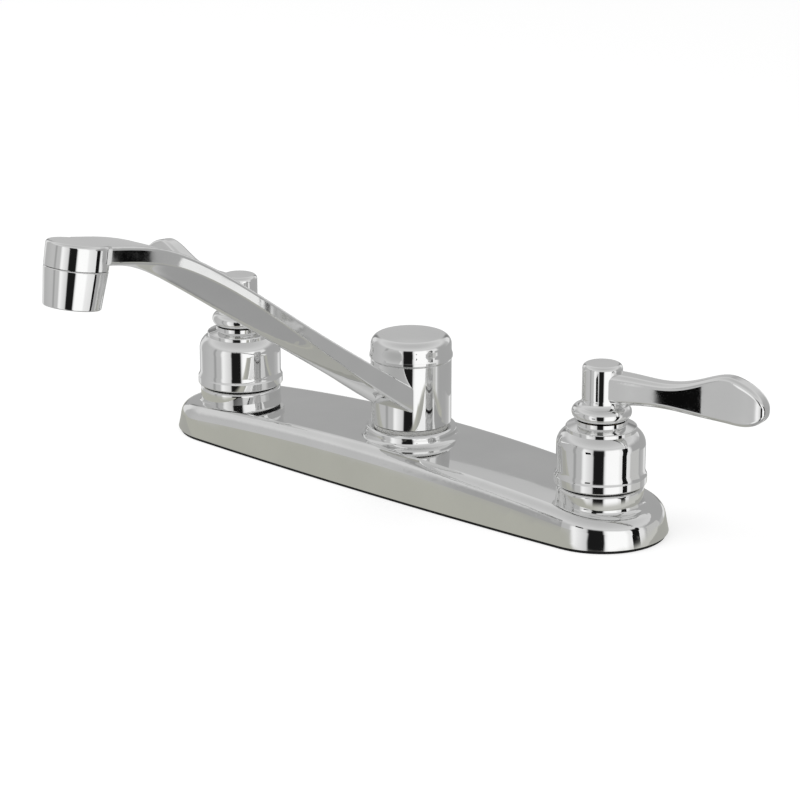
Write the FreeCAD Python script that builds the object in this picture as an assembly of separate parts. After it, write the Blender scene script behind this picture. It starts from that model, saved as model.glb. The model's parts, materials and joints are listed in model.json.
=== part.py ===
import FreeCAD, Part
import math
import os

# Two-handle kitchen faucet on a deck plate, in millimetres.
# The origin is the centre of the gasket underside on the spout axis.
# +Z is up, the spout points along -Y, the cold side is +X and the hot side is -X.

Vector = FreeCAD.Vector

# General clearances
running_gap = 0.3
shaft_clearance = 0.05
thread_clearance = 0.1
cut_overrun = 1.0

# Deck plate, its end arcs centred on the valve axes
valve_spacing = 203.2
plate_end_radius = 27.5
plate_bow = 2.4
plate_wall = 2.0
plate_foot_flare = 0.6
plate_foot_height = 4.2
plate_waist = 0.9
plate_waist_height = 9.5
plate_edge_round = 6.0
crown_height = 19.4
crown_end_height = 11.6

# Raised collars on the plate
handle_collar_radius = 17.8
handle_collar_top = 20.7
post_collar_radius = 19.4
post_collar_top = 23.9
collar_cove = 2.4
collar_edge_round = 1.5
plate_hole_clearance = 0.6

# Gasket under the plate
gasket_thickness = 1.5
gasket_inset = 1.0
gasket_hole_clearance = 1.4

# Valve body and its threaded shank
shank_radius = 10.4
shank_length = 58.0
pilot_radius = 10.2
pilot_length = 22.0
pilot_step = 0.2
nut_stretch = 13.0
groove_radius = 9.4
groove_width = 2.0
shank_bore_radius = 6.0
body_radius = 11.6
body_top = 31.0
chamber_radius = 9.0
chamber_floor = 3.0

# Cross tubes brazed into sockets
tube_radius = 4.0
tube_wall = 0.9
tube_height = 7.2
socket_wall = 1.1
socket_depth = 5.0
socket_lip = 0.4

# Cartridge
cartridge_radius = 8.0
cartridge_bottom = 4.6
cartridge_thread_length = 7.0
cartridge_hex_flats = 20.0
cartridge_hex_height = 4.0
cartridge_neck_radius = 8.6
cartridge_top = 46.0
disc_chamber_radius = 6.8
window_height = 3.0
window_width = 6.0

# Stem, discs and seals inside the cartridge
disc_radius = 6.6
disc_thickness = 3.0
disc_port_radius = 1.7
disc_port_pitch = 3.4
seal_radius = 6.6
seal_bore_radius = 4.9
seal_seat_gap = 0.1
seal_height = 4.0
stem_radius = 4.5
stem_foot_radius = 6.4
stem_foot_height = 2.6
stem_drive_radius = 3.9
stem_top = 60.0
stem_ring_height = 34.0
ring_thickness = 1.6
ring_groove_width = 2.2

# Bell escutcheon
bell_radius = 18.0
bell_wall = 1.6
bell_flare = 0.8
bell_lip_height = 3.3
bell_flare_height = 2.6
bell_shoulder = 37.6
bell_step_radius = 14.4
bell_step_bottom = 43.5
bell_step_top = 45.2
bell_step_round = 0.5
bell_neck_radius = 10.6
bell_dome_end = 46.4
bell_top = 48.0
bell_rim_round = 0.5
bell_seal_inner_radius = 13.6
bell_seal_outer_radius = 17.0
bell_seal_thickness = 1.0

# Lever handle
hub_radius = 8.1
hub_top = 71.0
hub_edge_round = 2.0
bead_radius = 12.1
bead_height = 5.6
bead_waist_radius = 9.6
hub_cove_height = 3.2
lever_gap = 0.3
stem_socket_top = 61.0
cold_sweep_angle = 8.0
hot_sweep_angle = 11.0
lever_root_length = 3.0
lever_root_height = 62.0
lever_root_depth = 12.0
lever_root_thickness = 11.0
lever_neck_length = 31.0
lever_neck_height = 63.0
lever_neck_depth = 10.6
lever_neck_thickness = 8.6
lever_paddle_length = 57.6
lever_paddle_height = 65.9
lever_paddle_depth = 18.8
lever_paddle_thickness = 7.6
lever_tip_length = 73.4
lever_tip_height = 63.6
blade_corner_share = 0.28
tip_length_shares = (0, 0.45, 0.75, 0.92, 0.99)
tip_thickness_shares = (1, 0.98, 0.93, 0.8, 0.45)

# Set screw at the back of each lever hub
screw_radius = 2.0
screw_length = 3.6
screw_height = 57.8
screw_socket_flats = 1.6
screw_socket_depth = 1.8

# Mounting washers and nuts on the shanks
washer_radius = 19.0
washer_thickness = 1.8
washer_drop = 22.4
mount_nut_flats = 30.0
mount_nut_height = 9.0
mount_nut_gap = 0.2

# Centre tee and the nipple that the spout turns on
tee_radius = 12.4
tee_top = 22.0
tee_bore_radius = 6.5
tee_floor = 2.4
journal_radius = 11.5
journal_top = 47.8
nipple_thread_radius = 9.5
nipple_top = 54.5
port_radius = 3.2
port_height = 38.0
lower_ring_height = 29.5
upper_ring_height = 45.3

# Spout washer, retaining ring and retaining nut
thrust_thickness = 1.1
thrust_outer_radius = 15.8
retainer_radius = 13.6
retainer_thickness = 1.0
retainer_nut_flats = 21.6
retainer_nut_height = 5.0

# Spout hub and cap
post_radius = 17.1
post_top = 53.4
post_edge_chamfer = 0.4
water_chamber_radius = 13.6
water_chamber_bottom = 33.0
water_chamber_top = 43.0
hub_counterbore_radius = 14.4
cap_seam = 0.2
cap_flare = 0.5
cap_lip_height = 1.3
cap_flare_height = 2.6
cap_top = 63.9
cap_edge_round = 4.2
cap_crown = 0.6
cap_wall = 2.4
cap_plug_depth = 3.4
cap_plug_wall = 0.9

# Spout arm: its top runs straight up, bends and runs on flatter to the outlet head
spout_reach = 185.0
arm_root_height = 37.0
head_top_height = 139.3
arm_end_angle = 10.5
arm_bend_share = 0.792
arm_bend_radius = 110.0
arm_width = 24.0
arm_tip_width = 23.8
arm_corner = 1.4
arm_crease_round = 1.2
arm_root_side = 9.4
arm_root_belly = 0.9
arm_side = 5.0
arm_belly = 6.0
arm_tip_side = 6.4
arm_tip_belly = 2.6
arm_full_shares = (0.45, 0.72)
arm_channel_wall = 1.9
arm_start = 5.0

# Outlet head and aerator, along the tilted outlet axis
head_radius = 12.1
head_length = 9.4
head_top_wall = 1.9
outlet_bore_radius = 7.6
spigot_radius = 9.5
spigot_length = 6.4
aerator_length = 15.0
aerator_bottom_radius = 10.9
aerator_lip_radius = 8.2
aerator_lip_height = 1.3
aerator_edge_round = 0.6
insert_height = 5.4
insert_hole_radius = 0.9
insert_hole_count = 8
insert_ring_share = 0.62
screen_thickness = 0.5
screen_hole_radius = 0.7
screen_ring_shares = (0.34, 0.72)
screen_hole_counts = (6, 12)
aerator_washer_thickness = 1.2

valve_x = valve_spacing / 2
plate_half_length = valve_x + plate_end_radius
crown_sag = crown_height - crown_end_height
crown_radius = (plate_half_length ** 2 + crown_sag ** 2) / (2 * crown_sag)
full_turn = 360
eighth_turn = math.radians(45)
up = Vector(0, 0, 1)
origin = Vector(0, 0, 0)


# A closed profile of radius and height points spun about Z, where a point with
# four numbers ends an arc that passes through the second pair.
def turned(profile):
    edges = []
    last = profile[-1]
    for point in profile:
        start = Vector(last[0], 0, last[1])
        end = Vector(point[0], 0, point[1])
        if len(point) == 4:
            middle = Vector(point[2], 0, point[3])
            edges.append(Part.Arc(start, middle, end).toShape())
        else:
            edges.append(Part.makeLine(start, end))
        last = point
    return Part.Face(Part.Wire(edges)).revolve(origin, up, full_turn)


# The two profile points of a rounded outer top edge
def round_over(radius, height, corner):
    inward = corner * (1 - math.cos(eighth_turn))
    return [(radius, height - corner), (radius - corner, height, radius - inward, height - inward)]


# The two profile points of a wall that flares out to an upright lip at its foot
def flared_foot(radius, flare, lip_top, rise):
    arc_radius = (flare ** 2 + rise ** 2) / (2 * flare)
    half_angle = math.asin(rise / arc_radius) / 2
    outward = arc_radius * (1 - math.cos(half_angle))
    wall_bottom = lip_top + rise
    middle_height = wall_bottom - arc_radius * math.sin(half_angle)
    return [(radius + flare, lip_top), (radius, wall_bottom, radius + outward, middle_height)]


def cylinder(radius, bottom, top):
    return Part.makeCylinder(radius, top - bottom, Vector(0, 0, bottom))


def ring(inner, outer, bottom, top):
    return cylinder(outer, bottom, top).cut(cylinder(inner, bottom - cut_overrun, top + cut_overrun))


def torus(centre_radius, tube, height):
    return Part.makeTorus(centre_radius, tube, Vector(0, 0, height))


# A hexagonal bar of the given width across its flats
def hexagon(flats, bottom, top):
    corner = flats / 2 / math.cos(math.radians(full_turn / 12))
    points = []
    for side in range(7):
        angle = math.radians(full_turn * side / 6)
        points.append(Vector(corner * math.cos(angle), corner * math.sin(angle), bottom))
    return Part.Face(Part.makePolygon(points)).extrude(Vector(0, 0, top - bottom))


# Height of the crowned plate top at a distance from the middle
def plate_top_at(x):
    return crown_height - crown_radius + math.sqrt(crown_radius ** 2 - x ** 2)


# Plate outline of two end arcs and two bowed sides, drawn in by an inset
def plate_outline(inset, height):
    end = plate_end_radius - inset
    bow_offset = (valve_x ** 2 - plate_bow ** 2) / (2 * plate_bow)
    slant = math.hypot(valve_x, bow_offset)
    tangent_x = valve_x + end * valve_x / slant
    tangent_y = end * bow_offset / slant
    side_y = end + plate_bow
    tip_x = valve_x + end
    right_front = Vector(tangent_x, -tangent_y, height)
    right_back = Vector(tangent_x, tangent_y, height)
    left_front = Vector(-tangent_x, -tangent_y, height)
    left_back = Vector(-tangent_x, tangent_y, height)
    arcs = [
        Part.Arc(left_front, Vector(0, -side_y, height), right_front),
        Part.Arc(right_front, Vector(tip_x, 0, height), right_back),
        Part.Arc(right_back, Vector(0, side_y, height), left_back),
        Part.Arc(left_back, Vector(-tip_x, 0, height), left_front),
    ]
    return Part.Wire([arc.toShape() for arc in arcs])


# Solid under the crowned top, inset and lowered by a wall, with a flared foot and a rounded top edge
def plate_block(wall, bottom):
    outlines = [
        plate_outline(wall - plate_foot_flare, bottom),
        plate_outline(wall, plate_foot_height),
        plate_outline(wall + plate_waist, plate_waist_height),
        plate_outline(wall + plate_waist, crown_height + cut_overrun),
    ]
    block = Part.makeLoft(outlines, True)
    depth = plate_end_radius + plate_bow + cut_overrun
    base = Vector(0, -depth, crown_height - crown_radius)
    crown = Part.makeCylinder(crown_radius - wall, 2 * depth, base, Vector(0, 1, 0))
    crown.rotate(base, Vector(0, 1, 0), full_turn / 2)
    block = block.common(crown)
    middle_height = (bottom + crown_end_height - plate_edge_round) / 2
    rim = [edge for edge in block.Edges if edge.BoundBox.ZMin > middle_height]
    return block.makeFillet(plate_edge_round - wall, rim).Solids[0]


# Raised ring round a hole of the plate, with a cove at its foot
def collar(radius, top, bore, foot):
    inward = collar_cove * (1 - math.cos(eighth_turn))
    profile = [
        (bore, gasket_thickness),
        (radius + collar_cove, gasket_thickness),
        (radius + collar_cove, foot),
        (radius, foot + collar_cove, radius + inward, foot + inward),
    ]
    return turned(profile + round_over(radius, top, collar_edge_round) + [(bore, top)])


def deck_plate():
    plate = plate_block(0, gasket_thickness)
    valve_hole = body_radius + plate_hole_clearance
    tee_hole = tee_radius + plate_hole_clearance
    handle_foot = plate_top_at(valve_x + handle_collar_radius + collar_cove)
    post_foot = plate_top_at(post_collar_radius + collar_cove)
    handle_collar = collar(handle_collar_radius, handle_collar_top, valve_hole, handle_foot)
    plate = plate.fuse(collar(post_collar_radius, post_collar_top, tee_hole, post_foot))
    for x in (-valve_x, valve_x):
        plate = plate.fuse(handle_collar.translated(Vector(x, 0, 0)))
    plate = plate.cut(plate_block(plate_wall, gasket_thickness - cut_overrun))
    plate = plate.cut(cylinder(tee_hole, gasket_thickness, post_collar_top + cut_overrun))
    hole = cylinder(valve_hole, gasket_thickness, handle_collar_top + cut_overrun)
    for x in (-valve_x, valve_x):
        plate = plate.cut(hole.translated(Vector(x, 0, 0)))
    return plate.removeSplitter()


def deck_gasket():
    outline = plate_outline(gasket_inset - plate_foot_flare, 0)
    gasket = Part.Face(outline).extrude(Vector(0, 0, gasket_thickness))
    hole = cylinder(body_radius + gasket_hole_clearance, -cut_overrun, gasket_thickness + cut_overrun)
    for x in (-valve_x, valve_x):
        gasket = gasket.cut(hole.translated(Vector(x, 0, 0)))
    return gasket


# Socket boss towards one side with the flow bore and the tube seat cut later
def socket_boss(carrier_radius, direction):
    reach = carrier_radius + socket_lip + socket_depth
    start = Vector(0, 0, tube_height)
    boss = Part.makeCylinder(tube_radius + thread_clearance + socket_wall, reach, start, direction)
    flow = Part.makeCylinder(tube_radius - tube_wall, reach, start, direction)
    floor = start + direction * (carrier_radius + socket_lip)
    seat = Part.makeCylinder(tube_radius + thread_clearance, socket_depth + cut_overrun, floor, direction)
    return boss, flow.fuse(seat)


def valve_body():
    groove_top = -pilot_length - nut_stretch
    profile = [
        (0, -shank_length),
        (shank_radius, -shank_length),
        (shank_radius, groove_top - groove_width),
        (groove_radius, groove_top - groove_width),
        (groove_radius, groove_top),
        (shank_radius, groove_top),
        (shank_radius, -pilot_length),
        (pilot_radius, -pilot_length),
        (pilot_radius, -pilot_step),
        (body_radius, -pilot_step),
        (body_radius, body_top),
        (0, body_top),
    ]
    boss, passage = socket_boss(body_radius, Vector(-1, 0, 0))
    body = turned(profile).fuse(boss)
    body = body.cut(cylinder(shank_bore_radius, -shank_length - cut_overrun, chamber_floor))
    body = body.cut(cylinder(chamber_radius, chamber_floor, body_top + cut_overrun))
    return body.cut(passage.cut(cylinder(shank_bore_radius, -shank_length, chamber_floor)))


def cross_tube():
    start = tee_radius + socket_lip + running_gap
    length = valve_x - body_radius - socket_lip - running_gap - start
    place = Vector(start, 0, tube_height)
    along = Vector(1, 0, 0)
    tube = Part.makeCylinder(tube_radius, length, place, along)
    return tube.cut(Part.makeCylinder(tube_radius - tube_wall, length, place, along))


fixed_disc_bottom = chamber_floor + seal_seat_gap + seal_height
moving_disc_bottom = fixed_disc_bottom + disc_thickness + running_gap
stem_foot_bottom = moving_disc_bottom + disc_thickness
stem_foot_top = stem_foot_bottom + stem_foot_height
disc_chamber_top = stem_foot_top + running_gap


def cartridge_body():
    thread_bottom = body_top - cartridge_thread_length
    thread_radius = chamber_radius - thread_clearance
    hex_top = body_top + cartridge_hex_height
    body = cylinder(cartridge_radius, cartridge_bottom, body_top)
    body = body.fuse(cylinder(thread_radius, thread_bottom, body_top))
    body = body.fuse(hexagon(cartridge_hex_flats, body_top, hex_top))
    body = body.fuse(cylinder(cartridge_neck_radius, hex_top, cartridge_top))
    body = body.cut(cylinder(disc_chamber_radius, cartridge_bottom - cut_overrun, disc_chamber_top))
    body = body.cut(cylinder(stem_radius + shaft_clearance, disc_chamber_top, cartridge_top + cut_overrun))
    window_corner = Vector(-cartridge_radius - cut_overrun, -window_width / 2, moving_disc_bottom)
    window_length = 2 * (cartridge_radius + cut_overrun)
    body = body.cut(Part.makeBox(window_length, window_width, window_height, window_corner))
    return body.removeSplitter()


def seat_seal():
    bottom = chamber_floor + seal_seat_gap
    return ring(seal_bore_radius, seal_radius, bottom, bottom + seal_height)


# Ceramic disc with two ports on one line through its centre
def ceramic_disc(bottom, port_angle):
    disc = cylinder(disc_radius, bottom, bottom + disc_thickness)
    for turn in (0, full_turn / 2):
        angle = math.radians(port_angle + turn)
        centre = Vector(disc_port_pitch * math.cos(angle), disc_port_pitch * math.sin(angle), bottom)
        disc = disc.cut(Part.makeCylinder(disc_port_radius, disc_thickness, centre))
    return disc


def fixed_disc():
    return ceramic_disc(fixed_disc_bottom, 0)


def moving_disc():
    return ceramic_disc(moving_disc_bottom, full_turn / 4)


def stem():
    profile = [
        (0, stem_foot_bottom),
        (stem_foot_radius, stem_foot_bottom),
        (stem_foot_radius, stem_foot_top),
        (stem_radius, stem_foot_top),
        (stem_radius, cartridge_top),
        (stem_drive_radius, cartridge_top),
        (stem_drive_radius, stem_top),
        (0, stem_top),
    ]
    return turned(profile).cut(ring_groove(stem_radius, stem_ring_height))


# Groove for a ring seal round a shaft
def ring_groove(shaft, height):
    low = height - ring_groove_width / 2
    return ring(shaft - ring_thickness, shaft + cut_overrun, low, low + ring_groove_width)


# Round seal lying in that groove, just below the shaft's surface
def ring_seal(shaft, height):
    tube = (ring_thickness - shaft_clearance) / 2
    return torus(shaft - ring_thickness + tube + shaft_clearance / 2, tube, height)


def stem_ring():
    return ring_seal(stem_radius, stem_ring_height)


bell_bottom = handle_collar_top + bell_seal_thickness


def bell_seal():
    return ring(bell_seal_inner_radius, bell_seal_outer_radius, handle_collar_top, bell_bottom)


# Point halfway along the dome arc, which leaves the straight wall without a kink
def dome_middle(radius, neck, low, high):
    across = radius - neck
    rise = high - low
    arc_radius = (across ** 2 + rise ** 2) / (2 * across)
    half_angle = math.asin(min(1, rise / arc_radius)) / 2
    inward = arc_radius * (1 - math.cos(half_angle))
    return radius - inward, low + arc_radius * math.sin(half_angle)


def bell():
    inner = bell_radius - bell_wall
    bore = cartridge_neck_radius + thread_clearance
    inner_end = bell_step_top - bell_wall
    outer_middle = dome_middle(bell_radius, bell_step_radius, bell_shoulder, bell_step_bottom)
    inner_middle = dome_middle(inner, bell_neck_radius, bell_shoulder, inner_end)
    rim = bell_rim_round
    inward = rim * (1 - math.cos(eighth_turn))
    lip = bell_radius + bell_flare
    profile = [
        (inner, bell_bottom),
        (lip - rim, bell_bottom),
        (lip, bell_bottom + rim, lip - inward, bell_bottom + inward),
    ]
    profile += flared_foot(bell_radius, bell_flare, bell_bottom + bell_lip_height, bell_flare_height)
    profile += [
        (bell_radius, bell_shoulder),
        (bell_step_radius, bell_step_bottom) + outer_middle,
    ]
    profile += round_over(bell_step_radius, bell_step_top, bell_step_round)
    profile += [
        (bell_neck_radius, bell_dome_end),
        (bell_neck_radius, bell_top),
        (bore, bell_top),
        (bore, inner_end),
        (bell_neck_radius, inner_end),
        (inner, bell_shoulder) + inner_middle,
    ]
    return turned(profile)


# Upright flat-sided section of the lever blade with rounded corners, at a distance from the valve axis
def blade_section(length, height, depth, thickness):
    corner = thickness * blade_corner_share
    near = corner * (1 - math.cos(eighth_turn))
    side = thickness / 2
    edges = []
    last = Vector(length, corner - side, height - depth / 2)
    for across, rise in ((1, -1), (1, 1), (-1, 1), (-1, -1)):
        flat_end = Vector(length, across * (side - corner), height + rise * depth / 2)
        upright_end = Vector(length, across * side, height + rise * (depth / 2 - corner))
        middle = Vector(length, across * (side - near), height + rise * (depth / 2 - near))
        start, end = (flat_end, upright_end) if across == -rise else (upright_end, flat_end)
        edges.append(Part.makeLine(last, start))
        edges.append(Part.Arc(start, middle, end).toShape())
        last = end
    return Part.Wire(edges)


# Blade from the hub through a slim neck to a paddle with a round tip
def lever_blade():
    sections = [
        blade_section(lever_root_length, lever_root_height, lever_root_depth, lever_root_thickness),
        blade_section((lever_root_length + lever_neck_length) / 2,
                      (lever_root_height + lever_neck_height) / 2,
                      (lever_root_depth + lever_neck_depth) / 2,
                      (lever_root_thickness + lever_neck_thickness) / 2),
        blade_section(lever_neck_length, lever_neck_height, lever_neck_depth, lever_neck_thickness),
        blade_section((lever_neck_length + lever_paddle_length) / 2,
                      (lever_neck_height + lever_paddle_height) / 2,
                      (lever_neck_depth + lever_paddle_depth) / 2,
                      (lever_neck_thickness + lever_paddle_thickness) / 2),
    ]
    for length_share, thickness_share in zip(tip_length_shares, tip_thickness_shares):
        length = lever_paddle_length + length_share * (lever_tip_length - lever_paddle_length)
        height = lever_paddle_height + length_share * (lever_tip_height - lever_paddle_height)
        depth = lever_paddle_depth * math.sqrt(1 - length_share ** 2)
        sections.append(blade_section(length, height, depth, lever_paddle_thickness * thickness_share))
    return Part.makeLoft(sections, True)


lever_bottom = bell_top + lever_gap


def lever(sweep):
    bead_middle = lever_bottom + bead_height / 2
    cove_bottom = lever_bottom + bead_height
    cove_top = cove_bottom + hub_cove_height
    cove_inward = (bead_waist_radius - hub_radius) * (1 - math.cos(eighth_turn))
    cove_middle = cove_top - hub_cove_height * math.sin(eighth_turn)
    socket = stem_drive_radius + thread_clearance
    profile = [
        (0, stem_socket_top),
        (socket, stem_socket_top),
        (socket, lever_bottom),
        (bead_waist_radius, lever_bottom),
        (bead_waist_radius, cove_bottom, bead_radius, bead_middle),
        (hub_radius, cove_top, hub_radius + cove_inward, cove_middle),
    ]
    profile += round_over(hub_radius, hub_top, hub_edge_round) + [(0, hub_top)]
    blade = lever_blade().cut(cylinder(socket, 0, stem_socket_top))
    blade.rotate(origin, up, sweep)
    handle = turned(profile).fuse(blade)
    place = Vector(0, 0, screw_height)
    hole = Part.makeCylinder(screw_radius + thread_clearance, hub_radius + cut_overrun, place, Vector(0, 1, 0))
    return handle.cut(hole).removeSplitter()


# Headless screw that bears on the stem from the back of the hub
def set_screw():
    start = stem_drive_radius + running_gap
    screw = cylinder(screw_radius, start, start + screw_length)
    socket_bottom = start + screw_length - screw_socket_depth
    screw = screw.cut(hexagon(screw_socket_flats, socket_bottom, start + screw_length + cut_overrun))
    screw.rotate(origin, Vector(1, 0, 0), -90)
    return screw.translated(Vector(0, 0, screw_height))


def mounting_washer():
    return ring(shank_radius + thread_clearance, washer_radius, -washer_drop - washer_thickness, -washer_drop)


def mounting_nut():
    top = -washer_drop - washer_thickness - mount_nut_gap
    bottom = top - mount_nut_height
    nut = hexagon(mount_nut_flats, bottom, top)
    return nut.cut(cylinder(shank_radius + thread_clearance, bottom - cut_overrun, top + cut_overrun))


# The same small part on both shanks, as one group
def on_both_valves(shape):
    return Part.makeCompound([shape.translated(Vector(x, 0, 0)) for x in (-valve_x, valve_x)])


def centre_tee():
    bottom = gasket_thickness + running_gap
    profile = [
        (0, bottom),
        (tee_radius, bottom),
        (tee_radius, tee_top),
        (journal_radius, tee_top),
        (journal_radius, journal_top),
        (nipple_thread_radius, journal_top),
        (nipple_thread_radius, nipple_top),
        (0, nipple_top),
    ]
    tee = turned(profile)
    passages = []
    for direction in (Vector(1, 0, 0), Vector(-1, 0, 0)):
        boss, passage = socket_boss(tee_radius, direction)
        tee = tee.fuse(boss)
        passages.append(passage)
    tee = tee.cut(cylinder(tee_bore_radius, tee_floor, water_chamber_top))
    for passage in passages:
        tee = tee.cut(passage)
    start = Vector(0, -journal_radius - cut_overrun, port_height)
    tee = tee.cut(Part.makeCylinder(port_radius, 2 * (journal_radius + cut_overrun), start, Vector(0, 1, 0)))
    for height in (lower_ring_height, upper_ring_height):
        tee = tee.cut(ring_groove(journal_radius, height))
    return tee


def spout_rings():
    return Part.makeCompound([ring_seal(journal_radius, height)
                              for height in (lower_ring_height, upper_ring_height)])


thrust_top = post_collar_top + thrust_thickness
post_bottom = thrust_top + running_gap
post_floor = journal_top - running_gap


def thrust_washer():
    return ring(tee_radius + plate_hole_clearance, thrust_outer_radius, post_collar_top, thrust_top)


def retaining_ring():
    inner = nipple_thread_radius + thread_clearance
    return ring(inner, retainer_radius, journal_top, journal_top + retainer_thickness)


def retaining_nut():
    bottom = journal_top + retainer_thickness
    nut = hexagon(retainer_nut_flats, bottom, bottom + retainer_nut_height)
    return nut.cut(cylinder(nipple_thread_radius + thread_clearance, bottom, nipple_top))


# Top line of the arm in the plane of the spout: outward distance, height and slope
def arm_station(outward):
    end = math.radians(arm_end_angle)
    corner = spout_reach * arm_bend_share
    corner_height = head_top_height - (spout_reach - corner) * math.tan(end)
    rise = math.atan2(corner_height - arm_root_height, corner)
    tangent = arm_bend_radius * math.tan((rise - end) / 2)
    bend_start = corner - tangent * math.cos(rise)
    bend_end = corner + tangent * math.cos(end)
    if outward <= bend_start:
        return outward, arm_root_height + outward * math.tan(rise), rise
    if outward >= bend_end:
        return outward, corner_height + (outward - corner) * math.tan(end), end
    start_height = arm_root_height + bend_start * math.tan(rise)
    centre_out = bend_start + arm_bend_radius * math.sin(rise)
    centre_height = start_height - arm_bend_radius * math.cos(rise)
    slope = math.asin((centre_out - outward) / arm_bend_radius)
    return outward, centre_height + arm_bend_radius * math.cos(slope), slope


# Point of a cross-section: sideways, and square to the arm's top
def section_point(station, sideways, depth):
    outward, height, slope = station
    return Vector(sideways, -(outward + depth * math.sin(slope)), height - depth * math.cos(slope))


# Half of the crease between side and belly: its ends and middle, sideways and down
def crease(half, side, belly):
    belly_radius = (half ** 2 + belly ** 2) / (2 * belly)
    belly_centre = side + belly - belly_radius
    reach = belly_radius - arm_crease_round
    across = half - arm_crease_round
    down = math.sqrt(reach ** 2 - across ** 2)
    turn = math.atan2(down, across)
    high = (half, belly_centre + down)
    middle = (across + arm_crease_round * math.cos(turn / 2), high[1] + arm_crease_round * math.sin(turn / 2))
    low = (across + arm_crease_round * math.cos(turn), high[1] + arm_crease_round * math.sin(turn))
    return high, middle, low


# Flat-topped section with upright sides and a rounded belly
def arm_section(station, width, side, belly):
    half = width / 2
    near = arm_corner * (1 - math.cos(eighth_turn))
    top_left = section_point(station, arm_corner - half, 0)
    top_right = section_point(station, half - arm_corner, 0)
    right_high = section_point(station, half, arm_corner)
    left_high = section_point(station, -half, arm_corner)
    right_corner = section_point(station, half - near, near)
    left_corner = section_point(station, near - half, near)
    marks = crease(half, side, belly)
    right_crease = [section_point(station, sideways, depth) for sideways, depth in marks]
    left_crease = [section_point(station, -sideways, depth) for sideways, depth in reversed(marks)]
    keel = section_point(station, 0, side + belly)
    edges = [
        Part.makeLine(top_left, top_right),
        Part.Arc(top_right, right_corner, right_high).toShape(),
        Part.makeLine(right_high, right_crease[0]),
        Part.Arc(*right_crease).toShape(),
        Part.Arc(right_crease[-1], keel, left_crease[0]).toShape(),
        Part.Arc(*left_crease).toShape(),
        Part.makeLine(left_crease[-1], left_high),
        Part.Arc(left_high, left_corner, top_left).toShape(),
    ]
    return Part.Wire(edges)


# Oval water channel inside that section
def channel_section(station, width, side, belly):
    half_depth = (side + belly) / 2
    slope = station[2]
    oval = Part.Ellipse(origin, width / 2 - arm_channel_wall, half_depth - arm_channel_wall).toShape()
    oval.rotate(origin, Vector(1, 0, 0), math.degrees(math.pi / 2 + slope))
    oval.translate(section_point(station, 0, half_depth))
    return Part.Wire([oval])


# Stations of the arm, from inside the post to inside the head
def arm_stations():
    places = [
        (arm_start, arm_width, arm_root_side, arm_root_belly),
        (post_radius, arm_width, arm_root_side, arm_root_belly),
    ]
    places += [(spout_reach * full_share, arm_width, arm_side, arm_belly) for full_share in arm_full_shares]
    tip = (spout_reach - 2 * head_radius, arm_tip_width, arm_tip_side, arm_tip_belly)
    places.append(tuple((before + after) / 2 for before, after in zip(places[-1], tip)))
    places.append(tip)
    places.append((spout_reach - head_radius / 2,) + tip[1:])
    return [(arm_station(outward), width, side, belly) for outward, width, side, belly in places]


# Carry a shape drawn about Z, with its top at height zero, to the tilted outlet axis
def at_outlet(shape):
    shape.rotate(origin, Vector(1, 0, 0), -arm_end_angle)
    return shape.translated(Vector(0, -spout_reach, head_top_height))


def outlet_head():
    spigot_end = -head_length - spigot_length
    profile = [
        (0, spigot_end),
        (spigot_radius, spigot_end),
        (spigot_radius, -head_length),
        (head_radius, -head_length),
    ]
    profile += round_over(head_radius, 0, arm_corner) + [(0, 0)]
    return turned(profile)


def spout():
    chamfer = post_edge_chamfer
    post = turned([
        (0, post_bottom),
        (post_radius - chamfer, post_bottom),
        (post_radius, post_bottom + chamfer),
        (post_radius, post_top - chamfer),
        (post_radius - chamfer, post_top),
        (0, post_top),
    ])
    stations = arm_stations()
    arm = Part.makeLoft([arm_section(*station) for station in stations], True)
    channel = Part.makeLoft([channel_section(*station) for station in stations], True)
    body = post.fuse(arm).fuse(at_outlet(outlet_head()))
    bore = journal_radius + shaft_clearance
    hollow = cylinder(bore, post_bottom - cut_overrun, post_top + cut_overrun)
    hollow = hollow.fuse(cylinder(water_chamber_radius, water_chamber_bottom, water_chamber_top))
    hollow = hollow.fuse(cylinder(hub_counterbore_radius, post_floor, post_top + cut_overrun))
    spigot_end = -head_length - spigot_length
    outlet = at_outlet(cylinder(outlet_bore_radius, spigot_end - cut_overrun, -head_top_wall))
    return body.cut(channel).cut(hollow).cut(outlet).removeSplitter()


def spout_cap():
    bottom = post_top + cap_seam
    chamfer = post_edge_chamfer
    plug_outer = hub_counterbore_radius - thread_clearance
    plug_inner = plug_outer - cap_plug_wall
    plug_bottom = post_top - cap_plug_depth
    edge = round_over(post_radius, cap_top - cap_crown, cap_edge_round)
    lip = post_radius + cap_flare
    profile = [
        (plug_inner, plug_bottom),
        (plug_outer, plug_bottom),
        (plug_outer, bottom),
        (lip - chamfer, bottom),
        (lip, bottom + chamfer),
    ]
    profile += flared_foot(post_radius, cap_flare, bottom + cap_lip_height, cap_flare_height)
    crown_edge = post_radius - cap_edge_round
    dome_radius = (crown_edge ** 2 + cap_crown ** 2) / (2 * cap_crown)
    crown_middle = cap_top - dome_radius + math.sqrt(dome_radius ** 2 - (crown_edge / 2) ** 2)
    profile += edge + [(0, cap_top, crown_edge / 2, crown_middle)]
    profile += [(0, cap_top - cap_wall), (plug_inner, cap_top - cap_wall)]
    return turned(profile)


aerator_top = -head_length
aerator_bottom = aerator_top - aerator_length
aerator_bore = spigot_radius + thread_clearance
insert_bottom = aerator_bottom + aerator_lip_height
screen_bottom = insert_bottom + insert_height
washer_bottom = screen_bottom + screen_thickness


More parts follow.
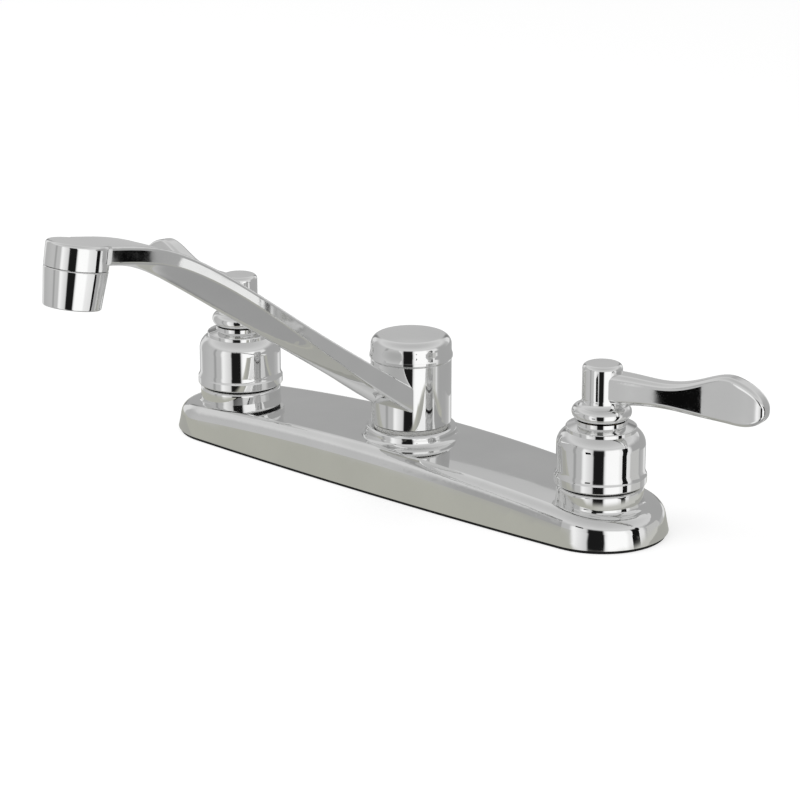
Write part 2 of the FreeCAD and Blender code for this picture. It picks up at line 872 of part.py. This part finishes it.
def aerator_housing():
    edge = aerator_edge_round
    inward = edge * (1 - math.cos(eighth_turn))
    top = aerator_top - cap_seam
    profile = [
        (aerator_lip_radius, aerator_bottom),
        (aerator_bottom_radius - edge, aerator_bottom),
        (aerator_bottom_radius, aerator_bottom + edge,
         aerator_bottom_radius - inward, aerator_bottom + inward),
        (head_radius, top - edge),
        (head_radius - edge, top, head_radius - inward, top - inward),
        (aerator_bore, top),
        (aerator_bore, insert_bottom),
        (aerator_lip_radius, insert_bottom),
    ]
    return at_outlet(turned(profile))


# Round disc pierced by rings of holes
def pierced_disc(bottom, top, hole_radius, ring_shares, hole_counts):
    radius = aerator_bore - thread_clearance
    disc = cylinder(radius, bottom, top)
    holes = []
    for ring_share, count in zip(ring_shares, hole_counts):
        for number in range(count):
            angle = math.radians(full_turn * number / count)
            centre = Vector(radius * ring_share * math.cos(angle), radius * ring_share * math.sin(angle), bottom)
            holes.append(Part.makeCylinder(hole_radius, top - bottom, centre))
    return at_outlet(disc.cut(Part.makeCompound(holes)))


def aerator_insert():
    return pierced_disc(insert_bottom, screen_bottom, insert_hole_radius, (insert_ring_share,), (insert_hole_count,))


def aerator_screen():
    return pierced_disc(screen_bottom, washer_bottom, screen_hole_radius, screen_ring_shares, screen_hole_counts)


def aerator_washer():
    top = washer_bottom + aerator_washer_thickness
    return at_outlet(ring(outlet_bore_radius, aerator_bore - thread_clearance, washer_bottom, top))


# Pieces of one valve, drawn on the spout axis for the cold side
valve_pieces = {
    "valve_body": valve_body,
    "cartridge_body": cartridge_body,
    "seat_seal": seat_seal,
    "fixed_disc": fixed_disc,
    "moving_disc": moving_disc,
    "stem": stem,
    "stem_oring": stem_ring,
    "bell_seal": bell_seal,
    "bell": bell,
    "set_screw": set_screw,
}

single_pieces = {
    "deck_plate": deck_plate,
    "deck_gasket": deck_gasket,
    "centre_tee": centre_tee,
    "spout_orings": spout_rings,
    "thrust_washer": thrust_washer,
    "retaining_ring": retaining_ring,
    "retaining_nut": retaining_nut,
    "spout": spout,
    "spout_cap": spout_cap,
    "aerator_housing": aerator_housing,
    "aerator_insert": aerator_insert,
    "aerator_screen": aerator_screen,
    "aerator_washer": aerator_washer,
}


def build():
    nodes = {name: make() for name, make in single_pieces.items()}
    cold_pieces = {name: make().translated(Vector(valve_x, 0, 0)) for name, make in valve_pieces.items()}
    cold_pieces["cross_tube"] = cross_tube()
    hot_pieces = dict(cold_pieces)
    cold_pieces["lever"] = lever(cold_sweep_angle).translated(Vector(valve_x, 0, 0))
    hot_pieces["lever"] = lever(hot_sweep_angle).translated(Vector(valve_x, 0, 0))
    for name in cold_pieces:
        nodes["cold_" + name] = cold_pieces[name]
        nodes["hot_" + name] = hot_pieces[name].mirror(origin, Vector(1, 0, 0))
    nodes["mounting_washers"] = on_both_valves(mounting_washer())
    nodes["mounting_nuts"] = on_both_valves(mounting_nut())
    return nodes


os.makedirs("parts", exist_ok=True)
for node_name, node_shape in build().items():
    node_shape.exportStep("parts/" + node_name + ".step")
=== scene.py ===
import bpy
import json
import math
from mathutils import Matrix, Vector


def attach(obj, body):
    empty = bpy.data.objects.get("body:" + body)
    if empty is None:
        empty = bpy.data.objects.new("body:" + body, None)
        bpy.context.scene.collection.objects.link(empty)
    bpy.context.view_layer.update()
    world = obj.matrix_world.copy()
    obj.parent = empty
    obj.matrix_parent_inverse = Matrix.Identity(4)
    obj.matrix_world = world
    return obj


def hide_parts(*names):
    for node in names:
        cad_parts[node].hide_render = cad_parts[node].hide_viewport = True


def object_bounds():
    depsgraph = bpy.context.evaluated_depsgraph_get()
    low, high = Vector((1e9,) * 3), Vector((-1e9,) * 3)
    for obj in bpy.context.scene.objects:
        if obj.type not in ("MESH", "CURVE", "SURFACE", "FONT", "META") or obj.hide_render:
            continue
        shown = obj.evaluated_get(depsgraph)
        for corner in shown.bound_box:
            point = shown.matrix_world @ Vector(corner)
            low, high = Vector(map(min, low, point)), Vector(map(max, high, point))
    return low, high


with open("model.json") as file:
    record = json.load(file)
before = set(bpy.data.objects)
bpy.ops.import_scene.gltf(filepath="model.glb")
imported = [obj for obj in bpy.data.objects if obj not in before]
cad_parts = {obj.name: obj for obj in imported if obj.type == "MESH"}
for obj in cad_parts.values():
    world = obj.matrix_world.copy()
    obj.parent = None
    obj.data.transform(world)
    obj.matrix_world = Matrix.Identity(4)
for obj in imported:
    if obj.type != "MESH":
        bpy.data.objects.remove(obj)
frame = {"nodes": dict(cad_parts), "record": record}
cadLow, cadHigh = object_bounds()
nodes = frame["nodes"]
scene = bpy.context.scene
print("stage: packed faucet loaded,", len(nodes), "nodes")

millimetre = 0.001
coldSupply = next(mount for mount in frame["record"]["mounts"] if mount["name"] == "cold_supply")
valveX = coldSupply["pos_m"][0]  # each valve axis stands this far from the spout axis


def clearSelection():
    if bpy.context.object and bpy.context.object.mode != "OBJECT":
        bpy.ops.object.mode_set(mode="OBJECT")
    bpy.ops.object.select_all(action="DESELECT")


clearSelection()


# shader helpers

def addNode(tree, kind, **settings):
    made = tree.nodes.new(kind)
    for key, value in settings.items():
        setattr(made, key, value)
    return made


def feed(tree, target, socket, source):
    if isinstance(source, bpy.types.NodeSocket):
        tree.links.new(source, target.inputs[socket])
    else:
        target.inputs[socket].default_value = source


def calc(tree, operation, first, second=0.0):
    made = addNode(tree, "ShaderNodeMath", operation=operation)
    feed(tree, made, 0, first)
    feed(tree, made, 1, second)
    return made.outputs[0]


def spread(tree, value, low, high, outLow, outHigh, smooth=False):
    made = addNode(tree, "ShaderNodeMapRange", interpolation_type="SMOOTHSTEP" if smooth else "LINEAR")
    for socket, source in enumerate((value, low, high, outLow, outHigh)):
        feed(tree, made, socket, source)
    return made.outputs[0]


def ramp(tree, factor, stops):
    made = addNode(tree, "ShaderNodeValToRGB")
    elements = made.color_ramp.elements
    while len(elements) > 1:
        elements.remove(elements[-1])
    elements[0].position, elements[0].color = stops[0][0], (*stops[0][1], 1)
    for place, colour in stops[1:]:
        elements.new(place).color = (*colour, 1)
    feed(tree, made, 0, factor)
    return made.outputs[0]


# a Mix node set to colour has its two colours on sockets 6 and 7 and its result on output 2
def mixColours(tree, share, first, second, kind="MIX"):
    made = addNode(tree, "ShaderNodeMix", data_type="RGBA", blend_type=kind)
    feed(tree, made, 0, share)
    feed(tree, made, 6, first)
    feed(tree, made, 7, second)
    return made.outputs[2]


def grey(level):
    return (level,) * 3


def objectPoint(tree, stretch=(1, 1, 1)):
    coord = addNode(tree, "ShaderNodeTexCoord")
    mapping = addNode(tree, "ShaderNodeMapping")
    mapping.inputs["Scale"].default_value = stretch
    tree.links.new(coord.outputs["Object"], mapping.inputs["Vector"])
    return mapping.outputs[0]


def noise(tree, point, scale, detail, roughness):
    made = addNode(tree, "ShaderNodeTexNoise")
    feed(tree, made, "Vector", point)
    feed(tree, made, "Scale", scale)
    feed(tree, made, "Detail", detail)
    feed(tree, made, "Roughness", roughness)
    return made.outputs["Fac"]


def bump(tree, height, strength, distance):
    made = addNode(tree, "ShaderNodeBump")
    feed(tree, made, "Strength", strength)
    feed(tree, made, "Distance", distance)
    feed(tree, made, "Height", height)
    return made.outputs[0]


def newFinish(name, metallic, **sockets):
    material = bpy.data.materials.new(name)
    material.use_nodes = True
    shader = material.node_tree.nodes["Principled BSDF"]
    shader.inputs["Metallic"].default_value = metallic
    for socket, value in sockets.items():
        shader.inputs[socket.replace("_", " ")].default_value = value
    return material, material.node_tree, shader


def bareMaterial(name):
    material = bpy.data.materials.new(name)
    material.use_nodes = True
    material.node_tree.nodes.clear()
    return material, material.node_tree


# what all finishes share: a mottled colour, an uneven gloss and, where there is one, a fine relief
def surface(tree, shader, look, tone, gloss, relief=None):
    low, high = look["toneSpan"]
    feed(tree, shader, "Base Color", ramp(tree, tone, [(low, look["dark"]), (high, look["light"])]))
    feed(tree, shader, "Roughness", spread(tree, gloss, *look["glossSpan"], *look["roughness"]))
    if relief is not None:
        feed(tree, shader, "Normal", bump(tree, relief, *look["relief"]))


# In each finish below a noise is given as scale, detail and roughness, and relief as strength and depth.

# polished chrome: faint clouding, water marks in the gloss and the long waves of buffed plating
chromeLook = {
    "dark": (0.795, 0.797, 0.795), "light": (0.845, 0.846, 0.842), "toneSpan": (0.3, 0.7),
    "cloud": (34.0, 4.0, 0.55), "marks": (160.0, 2.0, 0.5), "waves": (46.0, 1.0, 0.5),
    "glossSpan": (0.35, 0.75), "roughness": (0.030, 0.068), "relief": (0.12, 0.00012),
}


def chromeFinish(look):
    material, tree, shader = newFinish("polishedChrome", 1.0)
    point = objectPoint(tree)
    cloud = noise(tree, point, *look["cloud"])
    marks = noise(tree, point, *look["marks"])
    waves = noise(tree, point, *look["waves"])
    surface(tree, shader, look, cloud, marks, waves)
    return material


# machined brass: fine turning rings about the upright axis
brassLook = {
    "dark": (0.56, 0.40, 0.16), "light": (0.74, 0.57, 0.28), "toneSpan": (0.3, 0.72),
    "mottle": (60.0, 5.0, 0.6), "ringScale": 520.0, "ringWander": 0.6,
    "glossSpan": (0.3, 0.7), "roughness": (0.38, 0.22), "relief": (0.25, 0.00005),
}


def brassFinish(look):
    material, tree, shader = newFinish("machinedBrass", 1.0)
    point = objectPoint(tree)
    rings = addNode(tree, "ShaderNodeTexWave", wave_type="BANDS", bands_direction="Z")
    feed(tree, rings, "Vector", point)
    feed(tree, rings, "Scale", look["ringScale"])
    feed(tree, rings, "Distortion", look["ringWander"])
    mottle = noise(tree, point, *look["mottle"])
    surface(tree, shader, look, mottle, mottle, rings.outputs["Fac"])
    return material


# drawn copper tube: long draw marks along X
copperLook = {
    "dark": (0.50, 0.22, 0.12), "light": (0.80, 0.46, 0.31), "toneSpan": (0.28, 0.66),
    "mottle": (45.0, 5.0, 0.6), "streaks": (420.0, 4.0, 0.6), "drawnAlong": (0.06, 1, 1),
    "glossSpan": (0.3, 0.7), "roughness": (0.2, 0.42), "relief": (0.2, 0.00008),
}


def copperFinish(look):
    material, tree, shader = newFinish("drawnCopper", 1.0)
    streaks = noise(tree, objectPoint(tree, look["drawnAlong"]), *look["streaks"])
    mottle = noise(tree, objectPoint(tree), *look["mottle"])
    surface(tree, shader, look, mottle, streaks, streaks)
    return material


# moulded black rubber: matt with a fine skin
rubberLook = {
    "dark": (0.008, 0.008, 0.009), "light": (0.022, 0.022, 0.023), "toneSpan": (0.3, 0.7),
    "mottle": (70.0, 4.0, 0.5), "skin": (900.0, 2.0, 0.5), "specular": 0.3,
    "glossSpan": (0.3, 0.7), "roughness": (0.62, 0.82), "relief": (0.3, 0.0001),
}


def rubberFinish(look):
    material, tree, shader = newFinish("blackRubber", 0.0, Specular_IOR_Level=look["specular"])
    point = objectPoint(tree)
    skin = noise(tree, point, *look["skin"])
    mottle = noise(tree, point, *look["mottle"])
    surface(tree, shader, look, mottle, skin, skin)
    return material


# lapped ceramic: smooth off-white with a faint sinter grain
ceramicLook = {
    "dark": (0.80, 0.78, 0.72), "light": (0.90, 0.89, 0.85), "toneSpan": (0.3, 0.7),
    "mottle": (180.0, 4.0, 0.5), "grain": (1400.0, 2.0, 0.5),
    "glossSpan": (0.3, 0.7), "roughness": (0.12, 0.28),
}


def ceramicFinish(look):
    material, tree, shader = newFinish("lappedCeramic", 0.0)
    point = objectPoint(tree)
    grain = noise(tree, point, *look["grain"])
    mottle = noise(tree, point, *look["mottle"])
    surface(tree, shader, look, mottle, grain)
    return material


# moulded acetal: milky, with a slight sheen and flow marks
plasticLook = {
    "dark": (0.74, 0.74, 0.71), "light": (0.86, 0.86, 0.84), "toneSpan": (0.3, 0.7),
    "flow": (90.0, 4.0, 0.5), "flowAlong": (1, 1, 0.4), "skin": (1100.0, 2.0, 0.5),
    "milk": 0.1, "milkDepth": (0.002, 0.002, 0.0018),
    "glossSpan": (0.3, 0.7), "roughness": (0.38, 0.52), "relief": (0.2, 0.00006),
}


def plasticFinish(look):
    material, tree, shader = newFinish(
        "mouldedAcetal", 0.0, Subsurface_Weight=look["milk"], Subsurface_Radius=look["milkDepth"])
    flow = noise(tree, objectPoint(tree, look["flowAlong"]), *look["flow"])
    skin = noise(tree, objectPoint(tree), *look["skin"])
    surface(tree, shader, look, flow, flow, skin)
    return material


# stainless steel: rolled sheet with a short brushed grain
steelLook = {
    "dark": (0.50, 0.50, 0.49), "light": (0.66, 0.66, 0.645), "toneSpan": (0.3, 0.7),
    "mottle": (120.0, 4.0, 0.5), "grain": (700.0, 3.0, 0.6), "brushedAlong": (1, 0.08, 1),
    "glossSpan": (0.3, 0.7), "roughness": (0.2, 0.36), "relief": (0.2, 0.00005),
}


def steelFinish(look):
    material, tree, shader = newFinish("stainlessSteel", 1.0)
    grain = noise(tree, objectPoint(tree, look["brushedAlong"]), *look["grain"])
    mottle = noise(tree, objectPoint(tree), *look["mottle"])
    surface(tree, shader, look, mottle, grain, grain)
    return material


finishes = {
    "chrome": chromeFinish(chromeLook),
    "brass": brassFinish(brassLook),
    "copper_tube": copperFinish(copperLook),
    "rubber": rubberFinish(rubberLook),
    "ceramic": ceramicFinish(ceramicLook),
    "plastic": plasticFinish(plasticLook),
    "steel": steelFinish(steelLook),
}


def dress(piece, material):
    piece.data.materials.clear()
    piece.data.materials.append(material)


for part in frame["record"]["subparts"]:
    dress(nodes[part["node"]], finishes[part["material_slot"]])
print("stage:", len(finishes), "finishes on", len(nodes), "nodes")


# supply shanks: each valve body's lower stretch turned down, with a rolled thread wound round it
shankLook = {
    "top": -0.0120, "foot": cadLow[2], "shoulder": 0.0008,
    "crest": coldSupply["dims"]["r_mm"] * millimetre, "root": 0.00960,
    "lead": 0.0004,  # plain stretch below the first turn
    "sunk": 0.00015,  # how deep the thread's foot lies in the core
    "pitch": 0.001814, "footWidth": 0.00165, "crestWidth": 0.00035, "stepsPerTurn": 40, "smoothAngle": 32.0,
}
mergeDistance = 1e-6


def pickPoints(piece, wanted):
    bpy.ops.mesh.select_mode(type="VERT")
    bpy.ops.mesh.select_all(action="DESELECT")
    bpy.ops.object.mode_set(mode="OBJECT")
    for corner in piece.data.vertices:
        corner.select = wanted(corner.co)
    bpy.ops.object.mode_set(mode="EDIT")


def mergedCopy(nodeName, pieceName):
    clearSelection()
    nodes[nodeName].select_set(True)
    bpy.context.view_layer.objects.active = nodes[nodeName]
    bpy.ops.object.duplicate()
    piece = bpy.context.object
    piece.name = piece.data.name = pieceName
    for mark in [key for key in piece.keys() if key.startswith("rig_")]:
        del piece[mark]
    bpy.ops.mesh.customdata_custom_splitnormals_clear()
    bpy.ops.object.mode_set(mode="EDIT")
    bpy.ops.mesh.select_all(action="SELECT")
    bpy.ops.mesh.remove_doubles(threshold=mergeDistance)
    return piece


def standsFor(piece, nodeName, slotName):
    dress(piece, finishes[slotName])
    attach(piece, "base")
    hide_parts(nodeName)
    print("stage:", piece.name, "made,", len(piece.data.polygons), "faces")


def turnedCore(nodeName, pieceName, axisX, look):
    core = mergedCopy(nodeName, pieceName)
    for height in (look["top"], look["top"] - look["shoulder"]):
        bpy.ops.mesh.select_all(action="SELECT")
        bpy.ops.mesh.bisect(plane_co=(0, 0, height), plane_no=(0, 0, 1))
    lowest = look["top"] - look["shoulder"] / 2
    share = look["root"] / look["crest"]
    inner = look["root"] * share  # between the bore and the outside, so that only the outside moves
    pickPoints(core, lambda at: at.z < lowest and math.hypot(at.x - axisX, at.y) > inner)
    bpy.ops.transform.resize(value=(share, share, 1), center_override=(axisX, 0, 0))
    bpy.ops.object.mode_set(mode="OBJECT")
    return core


# the ridge's section stands in the plane of the axis and is wound upwards from the foot
def woundThread(axisX, look):
    clearSelection()
    depth = look["crest"] - look["root"] + look["sunk"]
    middle = look["crest"] - depth / 2
    bpy.ops.mesh.primitive_plane_add(size=1)
    ridge = bpy.context.object
    bpy.ops.object.mode_set(mode="EDIT")
    bpy.ops.mesh.select_all(action="SELECT")
    bpy.ops.transform.resize(value=(depth, look["footWidth"], 1))
    bpy.ops.transform.rotate(value=-math.pi / 2, orient_axis="X", center_override=(0, 0, 0))
    bpy.ops.transform.translate(value=(middle, 0, 0))
    pickPoints(ridge, lambda at: at.x > middle)
    taper = look["crestWidth"] / look["footWidth"]
    bpy.ops.transform.resize(value=(1, 1, taper), center_override=(0, 0, 0))
    bpy.ops.mesh.select_all(action="SELECT")
    bpy.ops.mesh.delete(type="ONLY_FACE")
    bpy.ops.object.mode_set(mode="OBJECT")
    start = look["foot"] + look["lead"] + look["footWidth"] / 2
    end = look["top"] - look["shoulder"] - look["footWidth"] / 2
    wind = ridge.modifiers.new("wind", "SCREW")
    wind.axis, wind.angle, wind.screw_offset = "Z", 2 * math.pi, look["pitch"]
    wind.iterations = math.floor((end - start) / look["pitch"])
    wind.steps = wind.render_steps = look["stepsPerTurn"]
    bpy.ops.object.modifier_apply(modifier=wind.name)
    bpy.ops.object.mode_set(mode="EDIT")
    bpy.ops.mesh.select_all(action="SELECT")
    bpy.ops.mesh.fill_holes(sides=4)  # both ends of the ridge
    bpy.ops.mesh.select_all(action="SELECT")
    bpy.ops.mesh.normals_make_consistent(inside=False)
    bpy.ops.transform.translate(value=(axisX, 0, start))
    bpy.ops.object.mode_set(mode="OBJECT")
    return ridge


def threadedShank(nodeName, pieceName, axisX, look):
    core = turnedCore(nodeName, pieceName, axisX, look)
    ridge = woundThread(axisX, look)
    clearSelection()
    ridge.select_set(True)
    core.select_set(True)
    bpy.context.view_layer.objects.active = core
    bpy.ops.object.join()
    bpy.ops.object.shade_smooth_by_angle(angle=math.radians(look["smoothAngle"]))
    standsFor(core, nodeName, "brass")


threadedShank("hot_valve_body", "hotThreadedBody", -valveX, shankLook)
threadedShank("cold_valve_body", "coldThreadedBody", valveX, shankLook)

# mounting nuts: moulded edges in place of knife-sharp ones
nutLook = {"edge": 0.0008, "segments": 3, "flatAngle": 3.0, "sharpAngle": 25.0}


def mouldedNuts(look):
    nuts = mergedCopy("mounting_nuts", "mouldedNuts")
    sharp = math.radians(look["sharpAngle"])
    bpy.ops.mesh.dissolve_limited(angle_limit=math.radians(look["flatAngle"]))
    bpy.ops.object.mode_set(mode="OBJECT")
    edge = nuts.modifiers.new("edge", "BEVEL")
    edge.width, edge.segments = look["edge"], look["segments"]
    edge.limit_method, edge.angle_limit = "ANGLE", sharp
    bpy.ops.object.modifier_apply(modifier=edge.name)
    bpy.ops.object.shade_smooth_by_angle(angle=sharp)
    standsFor(nuts, "mounting_nuts", "plastic")


mouldedNuts(nutLook)


# camera, from the photograph's own angle
cameraView = {
    "azimuth": 41.584, "elevation": 17.702, "distance": 1.234636, "clip": (0.02, 40.0),
    "focalPixels": 2886.496, "originPixel": (411.013, 475.867), "imagePixels": 800, "sensor": 36.0,
}


def placeCamera(view):
    turn, lift = math.radians(view["azimuth"]), math.radians(view["elevation"])
    back = Vector((math.sin(turn) * math.cos(lift), -math.cos(turn) * math.cos(lift), math.sin(lift)))
    right = Vector((math.cos(turn), math.sin(turn), 0))
    up = back.cross(right)
    half = view["imagePixels"] / 2
    perPixel = view["distance"] / view["focalPixels"]
    place = back * view["distance"]
    place -= right * (view["originPixel"][0] - half) * perPixel
    place -= up * (half - view["originPixel"][1]) * perPixel
    data = bpy.data.cameras.new("photoCamera")
    data.sensor_width = view["sensor"]
    data.lens = view["focalPixels"] * view["sensor"] / view["imagePixels"]
    data.clip_start, data.clip_end = view["clip"]
    camera = bpy.data.objects.new("photoCamera", data)
    scene.collection.objects.link(camera)
    camera.matrix_world = Matrix((
        (right.x, up.x, back.x, place.x), (right.y, up.y, back.y, place.y),
        (right.z, up.z, back.z, place.z), (0, 0, 0, 1)))
    scene.camera = camera


placeCamera(cameraView)
print("stage: camera placed")


# studio wrap: soft boxes either side of the camera and the dark gap in which it stands
wrapLook = {
    "rest": 0.555, "nadir": 0.37, "overhead": 0.74, "overheadSpan": (0.35, 0.6),
    "boxTop": (0.29, 0.54), "boxFoot": (-0.85, -0.62),  # where the boxes fade out, as the sine of the height
    "levels": [  # degrees right of the camera, level
        (-180, 0.545), (-121, 0.51), (-92, 0.57), (-80, 0.57), (-75.5, 0.39), (-72, 0.39), (-68, 0.56),
        (-55, 0.57), (-50, 1.00), (-46, 1.06), (-38, 0.92), (-28, 0.78), (-24.5, 0.72), (-21, 0.012),
        (3, 0.012), (7, 0.95), (12, 1.17), (42, 1.17), (48, 0.98), (62, 0.92), (76, 0.88),
        (82, 0.50), (87, 0.42), (112, 0.43), (130, 0.53), (180, 0.545),
    ],
    "backStrips": [  # degrees either side of the camera, share of the level: boxes and thin flags behind
        (0, 1.0), (134, 1.0), (140, 1.55), (156, 1.55), (160, 0.45), (165, 0.45), (171, 1.0), (180, 1.0),
    ],
}


def studioWorld(look):
    world = bpy.data.worlds.new("studioWrap")
    world.use_nodes = True
    scene.world = world
    tree = world.node_tree
    tree.nodes.clear()
    coord = addNode(tree, "ShaderNodeTexCoord")
    swing = addNode(tree, "ShaderNodeVectorRotate", rotation_type="Z_AXIS")
    feed(tree, swing, "Vector", coord.outputs["Generated"])
    feed(tree, swing, "Angle", -math.radians(cameraView["azimuth"]))
    axes = addNode(tree, "ShaderNodeSeparateXYZ")
    feed(tree, axes, 0, swing.outputs[0])
    height = axes.outputs["Z"]
    turn = calc(tree, "ARCTAN2", axes.outputs["X"], calc(tree, "MULTIPLY", axes.outputs["Y"], -1.0))
    around = calc(tree, "ADD", calc(tree, "DIVIDE", turn, 2 * math.pi), 0.5)
    eitherSide = calc(tree, "DIVIDE", calc(tree, "ABSOLUTE", turn), math.pi)
    levels = ramp(tree, around, [(angle / 360 + 0.5, grey(level)) for angle, level in look["levels"]])
    strips = ramp(tree, eitherSide, [(angle / 180, grey(share)) for angle, share in look["backStrips"]])
    band = mixColours(tree, 1.0, levels, strips, "MULTIPLY")
    rest, overhead = grey(look["rest"]), grey(look["overhead"])
    overheadFrom, overheadTo = look["overheadSpan"]
    tent = ramp(tree, height, [(0.0, rest), (overheadFrom, rest), (overheadTo, overhead), (1.0, rest)])
    footFade = spread(tree, height, *look["boxFoot"], 0.0, 1.0, True)
    topFade = spread(tree, height, *look["boxTop"], 0.0, 1.0, True)
    lower = mixColours(tree, footFade, (*grey(look["nadir"]), 1), band)
    light = addNode(tree, "ShaderNodeBackground")
    feed(tree, light, "Color", mixColours(tree, topFade, lower, tent))
    white = addNode(tree, "ShaderNodeBackground")
    feed(tree, white, "Color", (1, 1, 1, 1))
    path = addNode(tree, "ShaderNodeLightPath")
    pick = addNode(tree, "ShaderNodeMixShader")
    feed(tree, pick, 0, path.outputs["Is Camera Ray"])
    feed(tree, pick, 1, light.outputs[0])
    feed(tree, pick, 2, white.outputs[0])
    feed(tree, addNode(tree, "ShaderNodeOutputWorld"), 0, pick.outputs[0])


studioWorld(wrapLook)

# floor of the white table, which keeps a faint shadow
floorLook = {"size": 8.0, "tone": 0.36, "glow": 0.70}


def paleFloor(look):
    clearSelection()
    bpy.ops.mesh.primitive_plane_add(size=look["size"], location=(0, 0, 0))
    floor = bpy.context.object
    floor.name = "paleFloor"
    material, tree = bareMaterial("paleTable")
    matt = addNode(tree, "ShaderNodeBsdfDiffuse")
    feed(tree, matt, "Color", (*grey(look["tone"]), 1))
    glow = addNode(tree, "ShaderNodeEmission")
    path = addNode(tree, "ShaderNodeLightPath")
    feed(tree, glow, "Strength", calc(tree, "MULTIPLY", path.outputs["Is Camera Ray"], look["glow"]))
    both = addNode(tree, "ShaderNodeAddShader")
    feed(tree, both, 0, matt.outputs[0])
    feed(tree, both, 1, glow.outputs[0])
    feed(tree, addNode(tree, "ShaderNodeOutputMaterial"), 0, both.outputs[0])
    floor.data.materials.append(material)
    floor.visible_glossy = False  # reflections see the wrap and not the table


paleFloor(floorLook)

# cards that only reflections see: place, the way they face, width and height, colour
cards = {
    "leverFlag": {
        "place": (0.1148, -0.0792, 0.0378), "facing": (0.28, 0.91, 0.30),
        "size": (0.0182, 0.0150), "tone": grey(0.004),
    },
    "armFlag": {
        "place": (0.2245, 0.0282, 0.0565), "facing": (-0.708, -0.658, 0.255),
        "size": (0.0148, 0.050), "tone": grey(0.004),
    },
    "sideFlag": {
        "place": (0.397, 0.050, -0.050), "facing": (-0.986, -0.167, 0.0),
        "size": (0.068, 0.40), "tone": grey(0.008),
    },
    "bellCard": {
        "place": (0.162, 0.045, 0.012), "facing": (-0.72, -0.62, 0.20),
        "size": (0.040, 0.036), "tone": (0.60, 0.60, 0.59),
    },
    "backBoard": {
        "place": (-0.050, 0.075, 0.040), "facing": (0.0, -1.0, 0.0),
        "size": (0.56, 0.048), "tone": grey(0.425),
    },
}


def glossOnly(piece, tone):
    material, tree = bareMaterial(piece.name)
    glow = addNode(tree, "ShaderNodeEmission")
    feed(tree, glow, "Color", (*tone, 1))
    out = addNode(tree, "ShaderNodeOutputMaterial")
    feed(tree, out, 0, glow.outputs[0])
    piece.data.materials.append(material)
    piece.visible_camera = piece.visible_diffuse = piece.visible_shadow = False
    return tree, glow, out


def hangCard(name, look):
    clearSelection()
    bpy.ops.mesh.primitive_plane_add(size=1)
    card = bpy.context.object
    card.name = name
    card.scale = (*look["size"], 1)
    card.rotation_euler = Vector(look["facing"]).to_track_quat("Z", "Y").to_euler()
    card.location = look["place"]
    glossOnly(card, look["tone"])


for name, look in cards.items():
    hangCard(name, look)

# sheen of the table close round the plate, and a low rail that keeps the boxes off its sides
sheenLook = {"reach": 0.060, "height": 0.0004, "tone": (0.43, 0.43, 0.40), "corners": 96}
railLook = {
    "reach": 0.0580, "height": 0.0080, "fadeFrom": 0.0040, "tone": (0.48, 0.48, 0.43), "corners": 96,
    "endTone": (0.62, 0.62, 0.585), "endFrom": 0.113, "endTo": 0.142,  # paler round the cold end
    "dipFrom": 0.096, "dipTo": 0.112, "dipFade": 0.0014, "dipHeight": 0.0044,  # and lower, for the collar
}


def drawnOut(piece):
    for corner in piece.data.vertices:
        corner.co.x += math.copysign(valveX, corner.co.x)


def tableSheen(look):
    clearSelection()
    bpy.ops.mesh.primitive_circle_add(
        vertices=look["corners"], radius=look["reach"], fill_type="NGON", location=(0, 0, look["height"]))
    sheen = bpy.context.object
    sheen.name = "tableSheen"
    drawnOut(sheen)
    glossOnly(sheen, look["tone"])


def lowRail(look):
    clearSelection()
    bpy.ops.mesh.primitive_cylinder_add(
        vertices=look["corners"], radius=look["reach"], depth=look["height"], end_fill_type="NOTHING")
    rail = bpy.context.object
    rail.name = "lowRail"
    drawnOut(rail)
    for corner in rail.data.vertices:
        corner.co.z += look["height"] / 2
    tree, glow, out = glossOnly(rail, look["tone"])
    axes = addNode(tree, "ShaderNodeSeparateXYZ")
    feed(tree, axes, 0, objectPoint(tree))
    along = spread(tree, axes.outputs["X"], look["endFrom"], look["endTo"], 0.0, 1.0, True)
    feed(tree, glow, "Color", ramp(tree, along, [(0.0, look["tone"]), (1.0, look["endTone"])]))
    dip = spread(tree, axes.outputs["X"], look["dipFrom"], look["dipTo"], 0.0, 1.0, True)
    fadeLow = spread(tree, dip, 0.0, 1.0, look["fadeFrom"], look["dipFade"])
    fadeHigh = spread(tree, dip, 0.0, 1.0, look["height"], look["dipHeight"])
    fade = addNode(tree, "ShaderNodeMixShader")
    feed(tree, fade, 0, spread(tree, axes.outputs["Z"], fadeLow, fadeHigh, 0.0, 1.0, True))
    feed(tree, fade, 1, glow.outputs[0])
    feed(tree, fade, 2, addNode(tree, "ShaderNodeBsdfTransparent").outputs[0])
    feed(tree, out, 0, fade.outputs[0])


tableSheen(sheenLook)
lowRail(railLook)

# one broad lamp above for the soft shadow
lampLook = {"place": (-0.5, -0.9, 1.5), "size": 1.4, "power": 17.0}


def softLamp(look):
    data = bpy.data.lights.new("softLamp", "AREA")
    data.size = look["size"]
    data.energy = look["power"]
    lamp = bpy.data.objects.new("softLamp", data)
    scene.collection.objects.link(lamp)
    lamp.location = look["place"]
    lamp.rotation_euler = (-Vector(look["place"])).to_track_quat("-Z", "Y").to_euler()
    lamp.visible_glossy = False


softLamp(lampLook)
scene.view_settings.view_transform = "Standard"
print("stage: table, wrap and lamp set")
